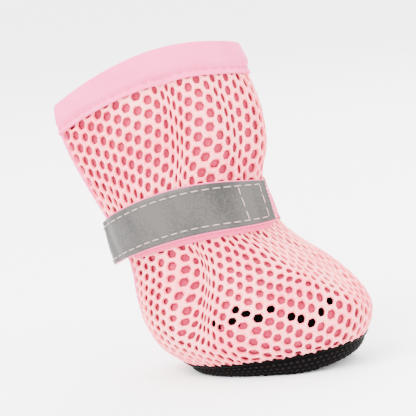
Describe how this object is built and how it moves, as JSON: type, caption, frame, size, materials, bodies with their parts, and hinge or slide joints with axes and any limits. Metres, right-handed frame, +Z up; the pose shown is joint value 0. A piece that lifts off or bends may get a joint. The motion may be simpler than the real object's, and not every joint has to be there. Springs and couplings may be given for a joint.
{
  "type": "dog boot",
  "caption": "Small pink net dog boot with a black cloth sole, a folded heel gusset, a bound collar and a grey reflective wrap strap",
  "frame": {"origin": "on the ground, in the middle of the flat of the sole", "axes": "+X to the toe, +Y to the boot's left, +Z up out of the collar"},
  "size_m": [0.0863, 0.047, 0.0945],
  "materials": {
    "sole_cloth": "coarse coated weave, matt",
    "insole_foam": "cloth faced foam, matt",
    "net_fabric": "open polyester net, soft",
    "gusset_cloth": "plain woven cloth, soft",
    "pink_tape": "plain woven tape, soft",
    "reflective_tape": "glass bead reflective tape, satin"
  },
  "bodies": {
    "root": {"outsole": "sole_cloth", "insole": "insole_foam", "seam_binding": "pink_tape", "upper": "net_fabric", "back_gusset": "gusset_cloth", "collar_binding": "pink_tape", "ankle_loop_tape": "pink_tape", "strap": "pink_tape", "reflective_tape": "reflective_tape"}
  },
  "joints": []
}
